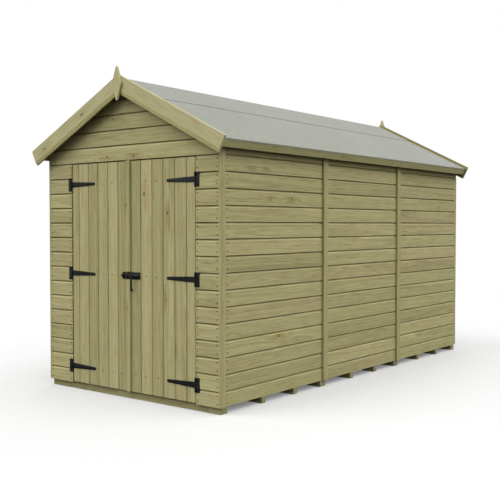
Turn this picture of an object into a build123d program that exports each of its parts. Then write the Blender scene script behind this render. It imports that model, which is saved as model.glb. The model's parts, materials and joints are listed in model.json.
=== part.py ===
from build123d import *
from math import atan2, cos, degrees, radians, sin, tan
import os

os.makedirs("parts", exist_ok=True)

# Wooden apex garden shed, millimetres. Z is up, the doors face -Y, X = 0 is under the ridge,
# and the ground is Z = 0. Distances called "from front" start at the face of the front boards.

# Plan and floor frame
wall_width = 1734.0            # over the side boards
bay = 1200.0                   # spacing of the wide joists
bay_count = 3
wide_joist = 70.0
narrow_joist = 45.0
narrow_joist_steps = (438.0, 828.0)   # centres, from the centre of each wide joist
joist_height = 48.0
floor_thickness = 16.0
board_overhang = 19.0          # end wall boards stand past the floor frame

# Walls
board_thickness = 12.0
stud_depth = 28.0
stud_width = 45.0
head_height = 1733.0           # underside of the gable boards, over the doors
joint_past_joist = 20.0        # panel joints, past the centre of the wide joist below
panel_joint_gap = 1.0          # between the timbers of two panels

# Strips outside the boards
strip_thickness = 18.0
corner_strip_width = 52.0
joint_strip_width = 61.0

# Roof
slope = 26.67                  # degrees
gable_shoulder = 129.0         # gable boards at the side walls, above the head height
barge_above_felt = 24.0        # upright, from the felt to the top edge of a bargeboard
barge_width = 122.0
barge_thickness = 20.0
barge_bevel_width = 27.0       # bevel along the lower edge of a bargeboard's outer face
barge_bevel_depth = 6.0
barge_past_felt = 24.0         # top corner of a bargeboard's end, past the felt's edge
front_overhang = 64.0          # roof boards past the front boards
back_overhang = 12.0
felt_thickness = 2.0
eaves_overhang = 99.0          # from the side boards' face to the felt's edge
felt_turn_down = 9.0
ridge_felt_reach = 344.0
roof_board_thickness = 12.0
eaves_board_thickness = 16.0
eaves_board_width = 61.0
ridge_beam_depth = 95.0
purlin_place = 0.5             # share of the slope's length

# Diamond finials with blunt ends, on the bargeboards
finial_width = 96.0
finial_height = 240.0
finial_thickness = 16.0
finial_blunt_end = 17.0
finial_centre_drop = 67.0      # below the peak of the bargeboards

# Doorway and doors
doorway_width = 1280.0
doorway_off_centre = 26.0      # its middle, right of the ridge line
door_side_gap = 6.0
door_top_gap = 9.0
door_bottom_height = 57.0
meeting_off_centre = 40.5      # between the leaves, left of the doorway's middle
meeting_gap = 8.0
low_ledge_rise = 123.0         # centre of the lowest ledge, above the foot of the leaf
high_ledge_drop = 152.0        # centre of the highest ledge, below the head of the leaf
middle_ledge_lift = 19.0       # middle ledge, above midway between the others
ledge_width = 90.0
ledge_thickness = 18.0
ledge_inset = 12.0             # ends of a ledge, inside the edges of its leaf
brace_width = 70.0
cover_strip_inset = 7.0        # from the edge of the right leaf
cover_strip_width = 43.5
cover_strip_thickness = 16.0
cover_strip_top_gap = 5.0
cover_strip_notch_gap = 3.0

# Tee hinges: an upright plate on the wall, a tapered strap on the door
hinge_steel = 3.0
hinge_plate_height = 100.0
hinge_plate_reach = 36.0
hinge_strap_length = 266.0
hinge_strap_root = 42.0
hinge_strap_tip = 22.0
hinge_barrel_radius = 5.6
hinge_barrel_clearance = 0.4   # barrel to boards
hinge_pin_radius = 3.0
running_clearance = 0.05
knuckle_gap = 0.5
plate_notch_gap = 1.6          # wall plate to the strap's knuckle

# Sliding bolt on the right leaf, with its keeper on the left leaf
bolt_above_ledge = 3.0         # centre of the bolt, above the centre of the middle ledge
bolt_steel = 3.0
bolt_plate_inset = 10.5        # from the edge of the right leaf
bolt_plate_length = 133.0
bolt_plate_height = 52.0
bolt_rod_radius = 5.0
bolt_rod_from_boards = 11.0
bolt_rod_past_leaf = 2.5
bolt_throw = 46.0
barrel_wall = 4.0
short_barrel_length = 15.0     # at the keeper's end of the plate
barrel_end_clearance = 2.0     # handle's neck to a barrel, at either end of the throw
handle_width = 14.0
handle_thickness = 6.0
handle_from_boards = 32.0
handle_drop = 104.0
handle_foot = 11.0
neck_radius = 4.5
keeper_inset = 1.5             # from the edge of the left leaf
keeper_length = 30.0
keeper_height = 50.0
keeper_loop_length = 20.0
keeper_clearance = 1.5

# Worked-out places
half_width = wall_width / 2
slope_rise = tan(radians(slope))
slope_cos = cos(radians(slope))
slope_sin = sin(radians(slope))
frame_length = bay * bay_count + wide_joist
wall_length = frame_length + 2 * board_overhang
felt_reach = half_width + eaves_overhang
barge_reach = felt_reach + barge_past_felt
frame_depth = board_thickness + stud_depth
front_reach = front_overhang + barge_thickness + finial_thickness
back_reach = back_overhang + barge_thickness + finial_thickness
front = -(front_reach + wall_length + back_reach) / 2 + front_reach
back = front + wall_length
floor_front = front + board_overhang
inner_front = front + frame_depth
inner_back = back - frame_depth
stud_outer = half_width - board_thickness
stud_inner = half_width - frame_depth
base_top = joist_height
rail_top = base_top + stud_width
head_top = head_height + stud_width
roof_front = front - front_overhang
roof_back = back + back_overhang
roof_under = felt_thickness + roof_board_thickness
gable_top = head_height + gable_shoulder + half_width * slope_rise
felt_peak = gable_top + roof_under / slope_cos
barge_peak = felt_peak + barge_above_felt
felt_edge = felt_reach / slope_cos
finial_centre = barge_peak - finial_centre_drop
first_joist = floor_front + wide_joist / 2
panel_joints = [first_joist + i * bay + joint_past_joist for i in range(1, bay_count)]
door_top = head_height - door_top_gap
low_ledge = door_bottom_height + low_ledge_rise
high_ledge = door_top - high_ledge_drop
middle_ledge = (low_ledge + high_ledge) / 2 + middle_ledge_lift
ledge_heights = (low_ledge, middle_ledge, high_ledge)
bolt_height = middle_ledge + bolt_above_ledge
opening_left = doorway_off_centre - doorway_width / 2
opening_right = doorway_off_centre + doorway_width / 2
left_leaf_edge = doorway_off_centre - meeting_off_centre - meeting_gap / 2
right_leaf_edge = left_leaf_edge + meeting_gap


def box(x0, x1, y0, y1, z0, z1):
    """Upright block between two corners."""
    middle = Pos((x0 + x1) / 2, (y0 + y1) / 2, (z0 + z1) / 2)
    return middle * Box(x1 - x0, y1 - y0, z1 - z0)


def profile_along_y(points, y0, y1):
    """Solid with an outline in X and Z, run along Y."""
    outline = Polyline([(x, y0, z) for x, z in points], close=True)
    return extrude(make_face(outline), amount=y1 - y0, dir=(0, 1, 0))


def on_slope(side, down, lift):
    """X and Z of a point: down the slope from the ridge, and lift square to the felt."""
    x = down * slope_cos + lift * slope_sin
    z = felt_peak - down * slope_sin + lift * slope_cos
    return (side * x, z)


def under_roof(x, depth=0.0):
    """Height of the underside of the roof boards, or of a line square to it by depth."""
    return felt_peak - abs(x) * slope_rise - (roof_under + depth) / slope_cos


def save(name, *solids):
    """One file for one named piece, or for a set of like pieces."""
    shape = solids[0] if len(solids) == 1 else Compound(list(solids))
    export_step(shape, "parts/" + name + ".step")


def wall_end_outline(bottom, half):
    """Gable outline under the roof boards, down to a level edge."""
    return [
        (-half, bottom),
        (half, bottom),
        (half, under_roof(half)),
        (0.0, under_roof(0.0)),
        (-half, under_roof(half)),
    ]


def floor():
    wide = [first_joist + i * bay for i in range(bay_count + 1)]
    joists = [box(-half_width, half_width, y - wide_joist / 2, y + wide_joist / 2, 0, joist_height)
              for y in wide]
    for start in wide[:-1]:
        for step in narrow_joist_steps:
            y0 = start + step - narrow_joist / 2
            joists.append(box(-half_width, half_width, y0, y0 + narrow_joist, 0, joist_height))
    save("floor_joists", *joists)
    save("floor_boards", box(-stud_inner, stud_inner, inner_front, inner_back,
                             base_top, base_top + floor_thickness))


def end_wall_boards():
    y1 = front + board_thickness
    save("front_panel_left", box(-half_width, opening_left, front, y1, base_top, head_height))
    save("front_panel_right", box(opening_right, half_width, front, y1, base_top, head_height))
    save("front_gable", profile_along_y(wall_end_outline(head_height, half_width),
                                        front, y1))
    save("back_wall", profile_along_y(wall_end_outline(base_top, half_width),
                                      back - board_thickness, back))


def end_wall_frames():
    left, right = opening_left, opening_right
    y0, y1 = front + board_thickness, inner_front
    studs = [
        box(-stud_outer, -stud_outer + stud_width, y0, y1, rail_top, head_height),
        box(left - stud_width, left, y0, y1, rail_top, head_height),
        box(right, right + stud_width, y0, y1, rail_top, head_height),
        box(stud_outer - stud_width, stud_outer, y0, y1, rail_top, head_height),
    ]
    rails = [
        box(-stud_outer, left, y0, y1, base_top, rail_top),
        box(right, stud_outer, y0, y1, base_top, rail_top),
    ]
    save("front_wall_studs", *studs)
    y2, y3 = inner_back, back - board_thickness
    spread = (2 * stud_outer - stud_width) / 3
    starts = [-stud_outer + i * spread for i in range(4)]
    save("back_wall_studs", *[box(x, x + stud_width, y2, y3, rail_top, head_height)
                              for x in starts])
    rails.append(box(-stud_outer, stud_outer, y2, y3, base_top, rail_top))
    save("end_wall_rails", *rails)
    heads = [box(-stud_outer, stud_outer, a, b, head_height, head_top)
             for a, b in ((y0, y1), (y2, y3))]
    save("wall_heads", *heads)


def gable_frames():
    half = stud_width / 2
    posts = []
    rafters = []
    for y0, y1 in ((front + board_thickness, inner_front), (inner_back, back - board_thickness)):
        king = [(-half, head_top), (half, head_top), (half, under_roof(half)),
                (0.0, under_roof(0.0)), (-half, under_roof(half))]
        posts.append(profile_along_y(king, y0, y1))
        for side in (-1, 1):
            outer, inner = side * stud_outer, side * (stud_outer - stud_width)
            posts.append(profile_along_y([
                (outer, head_top), (inner, head_top),
                (inner, under_roof(inner, stud_width)), (outer, under_roof(outer, stud_width)),
            ], y0, y1))
            rafters.append(profile_along_y([
                (side * half, under_roof(half)), (outer, under_roof(outer)),
                (outer, under_roof(outer, stud_width)), (side * half, under_roof(half, stud_width)),
            ], y0, y1))
    save("gable_posts", *posts)
    save("gable_rafters", *rafters)


def side_walls():
    starts = [front + board_thickness] + panel_joints
    ends = panel_joints + [back - board_thickness]
    names = ("front", "middle", "back")
    studs = []
    rails = []
    for side, side_name in ((-1, "left"), (1, "right")):
        for name, y0, y1 in zip(names, starts, ends):
            save(side_name + "_wall_" + name, profile_along_y([
                (side * stud_outer, base_top), (side * half_width, base_top),
                (side * half_width, under_roof(half_width)),
                (side * stud_outer, under_roof(stud_outer)),
            ], y0, y1))
            a = max(y0, inner_front) + panel_joint_gap / 2
            b = min(y1, inner_back) - panel_joint_gap / 2
            x0, x1 = sorted((side * stud_inner, side * stud_outer))
            top_rail_under = under_roof(stud_outer) - stud_width
            for start in (a, (a + b - stud_width) / 2, b - stud_width):
                studs.append(box(x0, x1, start, start + stud_width, rail_top, top_rail_under))
            rails.append(box(x0, x1, a, b, base_top, rail_top))
            rails.append(profile_along_y([
                (side * stud_inner, top_rail_under), (side * stud_outer, top_rail_under),
                (side * stud_outer, under_roof(stud_outer)),
                (side * stud_inner, under_roof(stud_inner)),
            ], a, b))
    save("side_wall_studs", *studs)
    save("side_wall_rails", *rails)


def strips():
    """Cover strips: on the side faces at the front corners and joints, on the back face behind."""
    inner, outer = half_width, half_width + strip_thickness
    top = under_roof(outer)
    front_strips = []
    joint_strips = []
    back_strips = []
    for side in (-1, 1):
        section = [(side * inner, base_top), (side * outer, base_top),
                   (side * outer, top), (side * inner, under_roof(inner))]
        front_strips.append(profile_along_y(section, front, front + corner_strip_width))
        for joint in panel_joints:
            start = joint - joint_strip_width / 2
            joint_strips.append(profile_along_y(section, start, start + joint_strip_width))
        x0, x1 = sorted((side * (half_width - corner_strip_width), side * half_width))
        back_strips.append(box(x0, x1, back, back + strip_thickness, base_top, head_height))
    save("front_corner_strips", *front_strips)
    save("side_joint_strips", *joint_strips)
    save("back_corner_strips", *back_strips)


def roof():
    board_end = felt_edge - eaves_board_thickness
    eaves_boards = []
    side_felt = []
    purlins = []
    purlin_down = board_end * purlin_place
    for side, name in ((-1, "left"), (1, "right")):
        save("roof_" + name, profile_along_y([
            (0.0, under_roof(0.0)),
            (0.0, felt_peak - felt_thickness / slope_cos),
            on_slope(side, board_end, -felt_thickness),
            on_slope(side, board_end, -roof_under),
        ], roof_front, roof_back))
        eaves_boards.append(profile_along_y([
            on_slope(side, board_end, -felt_thickness),
            on_slope(side, felt_edge, -felt_thickness),
            on_slope(side, felt_edge, -felt_thickness - eaves_board_width),
            on_slope(side, board_end, -felt_thickness - eaves_board_width),
        ], roof_front, roof_back))
        edge = felt_edge + felt_thickness
        gap = panel_joint_gap / 2
        side_felt.append(profile_along_y([
            (side * gap, felt_peak - gap * slope_rise),
            on_slope(side, edge, 0.0),
            on_slope(side, edge, -felt_thickness - felt_turn_down),
            on_slope(side, felt_edge, -felt_thickness - felt_turn_down),
            on_slope(side, felt_edge, -felt_thickness),
            (side * gap, felt_peak - gap * slope_rise - felt_thickness / slope_cos),
        ], roof_front, roof_back))
        purlins.append(profile_along_y([
            on_slope(side, purlin_down - stud_width / 2, -roof_under),
            on_slope(side, purlin_down + stud_width / 2, -roof_under),
            on_slope(side, purlin_down + stud_width / 2, -roof_under - stud_width),
            on_slope(side, purlin_down - stud_width / 2, -roof_under - stud_width),
        ], inner_front, inner_back))
    half = stud_width / 2
    beam_bottom = under_roof(0.0) - ridge_beam_depth
    ridge_beam = profile_along_y([
        (-half, beam_bottom), (half, beam_bottom), (half, under_roof(half)),
        (0.0, under_roof(0.0)), (-half, under_roof(half)),
    ], inner_front, inner_back)
    reach = ridge_felt_reach
    lift = felt_thickness / slope_cos
    ridge_felt = profile_along_y([
        (0.0, felt_peak), (reach, felt_peak - reach * slope_rise),
        (reach, felt_peak - reach * slope_rise + lift), (0.0, felt_peak + lift),
        (-reach, felt_peak - reach * slope_rise + lift), (-reach, felt_peak - reach * slope_rise),
    ], roof_front, roof_back)
    save("eaves_boards", *eaves_boards)
    save("side_felt", *side_felt)
    save("ridge_felt", ridge_felt)
    save("roof_beams", ridge_beam, *purlins)


def barge_bevel(side, end, bottom, outer_face, inward):
    """Wedge taken off the lower edge of a bargeboard's outer face, run down the slope."""
    x0, z0 = on_slope(side, -end, bottom)
    x1, z1 = on_slope(side, -end, bottom + barge_bevel_width)
    section = Polyline((x0, outer_face, z0), (x1, outer_face, z1),
                       (x0, outer_face + inward * barge_bevel_depth, z0), close=True)
    down_slope = (side * slope_cos, 0, -slope_sin)
    return extrude(make_face(section), amount=3 * end, dir=down_slope)


def bargeboards():
    """Four boards with square ends and an upright mitre under the peak."""
    lift = barge_above_felt * slope_cos
    end = (barge_reach - lift * slope_sin) / slope_cos
    bottom = lift - barge_width
    mitre_bottom = barge_peak - barge_width / slope_cos
    for end_name, y0, inward in (("front", roof_front - barge_thickness, 1), ("back", roof_back, -1)):
        outer_face = y0 if inward > 0 else y0 + barge_thickness
        for side, name in ((-1, "left"), (1, "right")):
            board = profile_along_y([
                (0.0, barge_peak),
                on_slope(side, end, lift),
                on_slope(side, end, bottom),
                (0.0, mitre_bottom),
            ], y0, y0 + barge_thickness)
            board = board - barge_bevel(side, end, bottom, outer_face, inward)
            save(end_name + "_bargeboard_" + name, board)


def finials():
    half, rise, blunt = finial_width / 2, finial_height / 2, finial_blunt_end / 2
    diamond = [
        (-blunt, finial_centre - rise), (blunt, finial_centre - rise), (half, finial_centre),
        (blunt, finial_centre + rise), (-blunt, finial_centre + rise), (-half, finial_centre),
    ]
    front_face = roof_front - barge_thickness
    back_face = roof_back + barge_thickness
    save("finials", profile_along_y(diamond, front_face - finial_thickness, front_face),
         profile_along_y(diamond, back_face, back_face + finial_thickness))


pin_y = front - hinge_barrel_radius - hinge_barrel_clearance
pin_left = opening_left + door_side_gap / 2
pin_right = opening_right - door_side_gap / 2


def upright(radius, x, z0, z1):
    """Round bar on the hinge line."""
    return Pos(x, pin_y, (z0 + z1) / 2) * Cylinder(radius, z1 - z0)


def hinge_plate(x, side, height):
    """Wall plate with an upper and a lower knuckle and the pin. side points away from the door."""
    half = hinge_plate_height / 2
    notch = hinge_strap_root / 2 + knuckle_gap
    bottom, top = height - half, height + half
    edge = x + side * (hinge_barrel_radius + plate_notch_gap)
    plate = box(*sorted((x, x + side * hinge_plate_reach)), front - hinge_steel, front, bottom, top)
    plate = plate - box(*sorted((x - side, edge)), front - 2 * hinge_steel, front + 1,
                        height - notch, height + notch)
    plate = plate + upright(hinge_barrel_radius, x, bottom, height - notch)
    plate = plate + upright(hinge_barrel_radius, x, height + notch, top)
    return plate + upright(hinge_pin_radius, x, bottom, top)


def hinge_strap(x, side, height):
    """Tapered strap with a round tip and a middle knuckle. side points over the door."""
    root, tip = hinge_strap_root / 2, hinge_strap_tip / 2
    y0 = front - hinge_steel
    far = x + side * (hinge_strap_length - tip)
    outline = Polyline((far, y0, height + tip), (x, y0, height + root),
                       (x, y0, height - root), (far, y0, height - tip))
    end = ThreePointArc((far, y0, height - tip), (far + side * tip, y0, height),
                        (far, y0, height + tip))
    strap = extrude(make_face([outline, end]), amount=hinge_steel, dir=(0, 1, 0))
    strap = strap + upright(hinge_barrel_radius, x, height - root, height + root)
    return strap - upright(hinge_pin_radius + running_clearance, x, height - root - 1,
                           height + root + 1)


def hinges():
    save("hinge_plates",
         *[hinge_plate(pin_left, -1, z) for z in ledge_heights],
         *[hinge_plate(pin_right, 1, z) for z in ledge_heights])
    save("left_hinge_straps", *[hinge_strap(pin_left, 1, z) for z in ledge_heights])
    save("right_hinge_straps", *[hinge_strap(pin_right, -1, z) for z in ledge_heights])


def door(name, x0, x1, hinge_side):
    """Ledged and braced leaf. The braces rise from the hinge side."""
    boards_back = front + board_thickness
    ledge_back = boards_back + ledge_thickness
    save(name + "_door", box(x0, x1, front, boards_back, door_bottom_height, door_top))
    a, b = x0 + ledge_inset, x1 - ledge_inset
    half = ledge_width / 2
    save(name + "_door_ledges", *[box(a, b, boards_back, ledge_back, z - half, z + half)
                                  for z in ledge_heights])
    braces = []
    for low, high in zip(ledge_heights[:-1], ledge_heights[1:]):
        z0, z1 = low + half, high - half
        run = abs(b - a)
        wide = brace_width / sin(atan2(z1 - z0, run - brace_width))
        start, finish = (a, b - wide) if hinge_side < 0 else (b - wide, a)
        braces.append(profile_along_y([
            (start, z0), (start + wide, z0), (finish + wide, z1), (finish, z1),
        ], boards_back, ledge_back))
    save(name + "_door_braces", *braces)


def doors():
    door("left", opening_left + door_side_gap, left_leaf_edge, -1)
    door("right", right_leaf_edge, opening_right - door_side_gap, 1)
    x0 = right_leaf_edge + cover_strip_inset
    x1 = x0 + cover_strip_width
    y0 = front - cover_strip_thickness
    notch = bolt_plate_height / 2 + cover_strip_notch_gap
    save("door_cover_strip",
         box(x0, x1, y0, front, door_bottom_height, bolt_height - notch),
         box(x0, x1, y0, front, bolt_height + notch, head_height - cover_strip_top_gap))


bolt_y = front - bolt_rod_from_boards


def across(radius, x0, x1):
    """Round bar on the bolt's line."""
    return Pos((x0 + x1) / 2, bolt_y, bolt_height) * Rot(0, 90, 0) * Cylinder(radius, x1 - x0)


def barrel(x0, x1, bore):
    """Raised barrel round the rod, standing on its base plate."""
    outer = bore + barrel_wall
    foot = box(x0, x1, bolt_y, front - bolt_steel, bolt_height - outer, bolt_height + outer)
    return foot + across(outer, x0, x1) - across(bore, x0 - 1, x1 + 1)


def base_plate(x0, length, height):
    return box(x0, x0 + length, front - bolt_steel, front,
               bolt_height - height / 2, bolt_height + height / 2)


def bolt():
    """Drawn back. The rod's neck travels between the short and the long barrel."""
    x0 = right_leaf_edge + bolt_plate_inset
    x1 = x0 + bolt_plate_length
    bore = bolt_rod_radius + running_clearance
    short_end = x0 + short_barrel_length
    neck = short_end + barrel_end_clearance + neck_radius + bolt_throw
    long_start = neck + neck_radius + barrel_end_clearance
    plate = base_plate(x0, bolt_plate_length, bolt_plate_height)
    plate = plate + barrel(x0, short_end, bore) + barrel(long_start, x1, bore)
    save("bolt_plate", plate)

    keeper_start = left_leaf_edge - keeper_inset - keeper_length
    keeper_middle = keeper_start + keeper_length / 2
    keeper = base_plate(keeper_start, keeper_length, keeper_height)
    keeper = keeper + barrel(keeper_middle - keeper_loop_length / 2,
                             keeper_middle + keeper_loop_length / 2,
                             bolt_rod_radius + keeper_clearance)
    save("bolt_keeper", keeper)

    rod = across(bolt_rod_radius, right_leaf_edge - bolt_rod_past_leaf, x1 - 1)
    face = front - handle_from_boards
    half = handle_width / 2
    low = bolt_height - handle_drop
    outline = Polyline((neck - half, face, bolt_height), (neck - half, face, low),
                       (neck + half + handle_foot, face, low - half),
                       (neck + half + handle_foot, face, low + half),
                       (neck + half, face, low + handle_width), (neck + half, face, bolt_height))
    crown = ThreePointArc((neck + half, face, bolt_height), (neck, face, bolt_height + half),
                          (neck - half, face, bolt_height))
    handle = extrude(make_face([outline, crown]), amount=handle_thickness, dir=(0, 1, 0))
    neck_length = bolt_y - face
    stem = Pos(neck, face + neck_length / 2, bolt_height) * Rot(90, 0, 0)
    save("bolt_rod", rod + handle + stem * Cylinder(neck_radius, neck_length))


floor()
end_wall_boards()
end_wall_frames()
gable_frames()
side_walls()
strips()
roof()
bargeboards()
finials()
hinges()
doors()
bolt()

print("width over strips", wall_width + 2 * strip_thickness)
print("length", front_reach + wall_length + back_reach)
print("height", finial_centre + finial_height / 2)
print("front", front, "back", back, "pins", pin_left, pin_right, pin_y)
print("leaf edges", left_leaf_edge, right_leaf_edge, "bolt", bolt_y, bolt_height)
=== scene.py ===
# %% [markdown]
# # A wooden garden shed
# The shed is a real assembly of boards, strips, joists, felt and black steel fittings. The packed
# model gives every piece at its true size and place. This script gives the pieces their boards,
# eased edges, nails, grain and finish, and then lights the shed on a pale floor.
# Everything is in metres, with the ground at Z = 0 and the doors facing -Y.

# %% Load the frame
import json
import random
from math import ceil, cos, pi, radians, sin, sqrt

import bmesh
import bpy
from mathutils import Matrix, Vector

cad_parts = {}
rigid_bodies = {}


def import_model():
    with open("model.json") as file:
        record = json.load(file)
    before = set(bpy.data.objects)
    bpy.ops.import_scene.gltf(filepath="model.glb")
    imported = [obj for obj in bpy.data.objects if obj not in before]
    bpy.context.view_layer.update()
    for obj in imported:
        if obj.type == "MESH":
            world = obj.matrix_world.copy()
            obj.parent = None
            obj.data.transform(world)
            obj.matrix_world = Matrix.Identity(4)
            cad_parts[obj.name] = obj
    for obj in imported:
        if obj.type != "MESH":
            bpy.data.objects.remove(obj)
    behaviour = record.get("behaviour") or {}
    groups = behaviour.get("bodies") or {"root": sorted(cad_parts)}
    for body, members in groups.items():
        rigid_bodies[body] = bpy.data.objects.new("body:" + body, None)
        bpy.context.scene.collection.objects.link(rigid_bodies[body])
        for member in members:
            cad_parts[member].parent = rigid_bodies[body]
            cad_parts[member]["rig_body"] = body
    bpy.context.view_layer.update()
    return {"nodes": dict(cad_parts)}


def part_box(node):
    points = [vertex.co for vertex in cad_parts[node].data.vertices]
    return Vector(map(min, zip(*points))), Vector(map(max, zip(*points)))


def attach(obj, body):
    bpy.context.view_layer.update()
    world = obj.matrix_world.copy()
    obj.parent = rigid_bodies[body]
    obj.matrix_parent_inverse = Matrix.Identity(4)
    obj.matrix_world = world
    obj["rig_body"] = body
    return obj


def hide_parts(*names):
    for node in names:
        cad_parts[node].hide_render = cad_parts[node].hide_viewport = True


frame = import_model()
nodes = frame["nodes"]
print("CAD nodes:", len(nodes))

# %% [markdown]
# ## Helpers
# A colour is easiest to read off a finish card as a hex value, but Blender mixes light in linear
# numbers, so one function turns the one into the other. A second adds a shader node with its
# settings and links in one call and hands back its output, so that a material reads from top
# to bottom like a recipe.


# %% Colour and node helpers
def hex_colour(code):
    """Linear RGBA of an sRGB hex value."""
    parts = [int(code[i:i + 2], 16) / 255 for i in (1, 3, 5)]
    linear = [c / 12.92 if c <= 0.04045 else ((c + 0.055) / 1.055) ** 2.4 for c in parts]
    return (*linear, 1.0)


def add(tree, kind, *values, out=0, **named):
    """Adds a node and gives one of its outputs. Sockets are linked and plain values are set.

    A word right after the kind is its operation, and the values after it fill its inputs in
    order. Of the names, those with a capital are inputs, and the others are settings.
    """
    node = tree.nodes.new("ShaderNode" + kind)
    if values and isinstance(values[0], str):
        node.operation, *values = values
    settings = {name: value for name, value in named.items() if name[0].islower()}
    for name, value in settings.items():
        setattr(node, name, value)
    sockets = {socket.identifier.replace(" ", "_"): socket for socket in node.inputs}
    fed = list(zip(node.inputs, values))
    fed += [(sockets[name], value) for name, value in named.items() if name not in settings]
    for socket, value in fed:
        if isinstance(value, bpy.types.NodeSocket):
            tree.links.new(value, socket)
        else:
            socket.default_value = value
    return node.outputs[out]


COLOURS = {"data_type": "RGBA", "out": 2}         # a Mix node's settings when it mixes colours
SMOOTH = {"interpolation_type": "SMOOTHSTEP"}     # a MapRange node's, to ease in and out


def new_material(name):
    material = bpy.data.materials.new(name)
    material.use_nodes = True
    shader = material.node_tree.nodes["Principled BSDF"]
    return material, material.node_tree, shader


print("linear value of mid grey:", round(hex_colour("#808080")[0], 3))

# %% [markdown]
# ## Pressure-treated softwood
# The shed is planed spruce and pine, treated under pressure, which leaves a pale green-brown. What
# the eye sees is (1) boards that differ a little from each other, (2) growth rings, straight where
# the board was cut across them and in long arches where it was cut along them, (3) knots that
# the rings flow round, and (4) a fine fibre. One wood texture on object coordinates would run
# through all the boards as if they were one block. So each board carries its own coordinates in
# attributes: where a point lies along, across and through its board, where the tree's pith was,
# and where its knots are. The rings are then simply the distance from that pith.

# %% What a board carries, and the sizes of its grain
VECTOR_LAYERS = ("grain", "board", "pith", "knot_a", "knot_b")
RING = 0.0052          # metres between growth rings
STREAK = 0.0075        # metres across a darker or lighter group of rings
PITH_WANDER = 0.013    # metres the pith strays from a straight line
FIBRE_WIDTH = 0.0060   # real fibres are finer; this coarse, they still show from across a garden
FLECK_WIDTH = 0.009    # metres across a resin streak
SAW_MARK = 0.009       # metres between the marks of the saw on a chamfer that was never planed

# Noises drawn out along a board: repeats in a metre along it and across it, and detail.
WANDER = 0.9, 4.0, 2.0
FIBRE = 7.0, 1 / FIBRE_WIDTH, 3.0
FLECK = 6.0, 1 / FLECK_WIDTH, 1.0
CLOUD = 1.6, 13.0, 3.0
TINT = 2.6, 60.0, 3.0


def read_board(tree):
    """Each attribute of a board, as its vector and its three numbers."""
    read = {}
    for name in VECTOR_LAYERS:
        vector = add(tree, "Attribute", attribute_name=name, out=1)
        split = add(tree, "SeparateXYZ", vector).node
        read[name] = (vector, *split.outputs)
    return read


def grain_noise(tree, grain, along, across, detail, out=0):
    """Noise drawn out along a board."""
    space = add(tree, "VectorMath", "MULTIPLY", grain, (along, across, across))
    return add(tree, "TexNoise", out=out, Vector=space, Scale=1.0, Detail=detail)


def distance(tree, a, b):
    square = add(tree, "Math", "MULTIPLY", b, b)
    return add(tree, "Math", "SQRT", add(tree, "Math", "MULTIPLY_ADD", a, a, square))


print("ring", RING, "streak", STREAK, "fibre", FIBRE_WIDTH)

# %% [markdown]
# The rings are cylinders round the pith. The pith strays a little and the trunk tapers, and that
# alone gives the long arches of a flat-sawn face. A knot is where a branch left the trunk: the
# rings part, pass it on both sides and close again, and the innermost go right round it. So
# each knot adds to the distance from the pith on one side of it and takes from it on the other.

# %% Growth rings and knots
KNOT_REACH = 3.4           # how far the rings are bent, in radii of the knot
KNOT_BEND = 1.6            # how far they are pushed aside, in radii of the knot
KNOT_CORE = 0.6            # radius of the dark core, in radii of the knot
WHORL = 0.012              # metres between the rings that go right round a knot
KNOT_OVAL = 0.65           # width over length of the core
WHORL_OVAL = 0.42          # of the rings right round it
LENS_OVAL = 0.22           # of the patch of bent rings
SMALLEST_KNOT = 0.001      # below this radius, in metres, a board has no knot there
KNOT_FIGURE = 0.9          # by this share the rings show more beside a knot
RING_SHARPNESS = 3.0
RING_SHARE = 0.3           # of late wood in a ring
BAND_SHARE = 0.4           # and in a band of rings


def pith_radius(tree, read, wander):
    """Distance of a point from the pith."""
    _, x, y, z = read["grain"]
    _, pith_y, pith_z, taper = read["pith"]
    offsets = []
    for place, pith, stray in ((y, pith_y, wander[0]), (z, pith_z, wander[1])):
        offset = add(tree, "Math", "SUBTRACT", place, pith)
        offset = add(tree, "Math", "MULTIPLY_ADD", stray, PITH_WANDER * 2, offset)
        offsets.append(add(tree, "Math", "SUBTRACT", offset, PITH_WANDER))
    return add(tree, "Math", "MULTIPLY_ADD", x, taper, distance(tree, *offsets))


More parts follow.
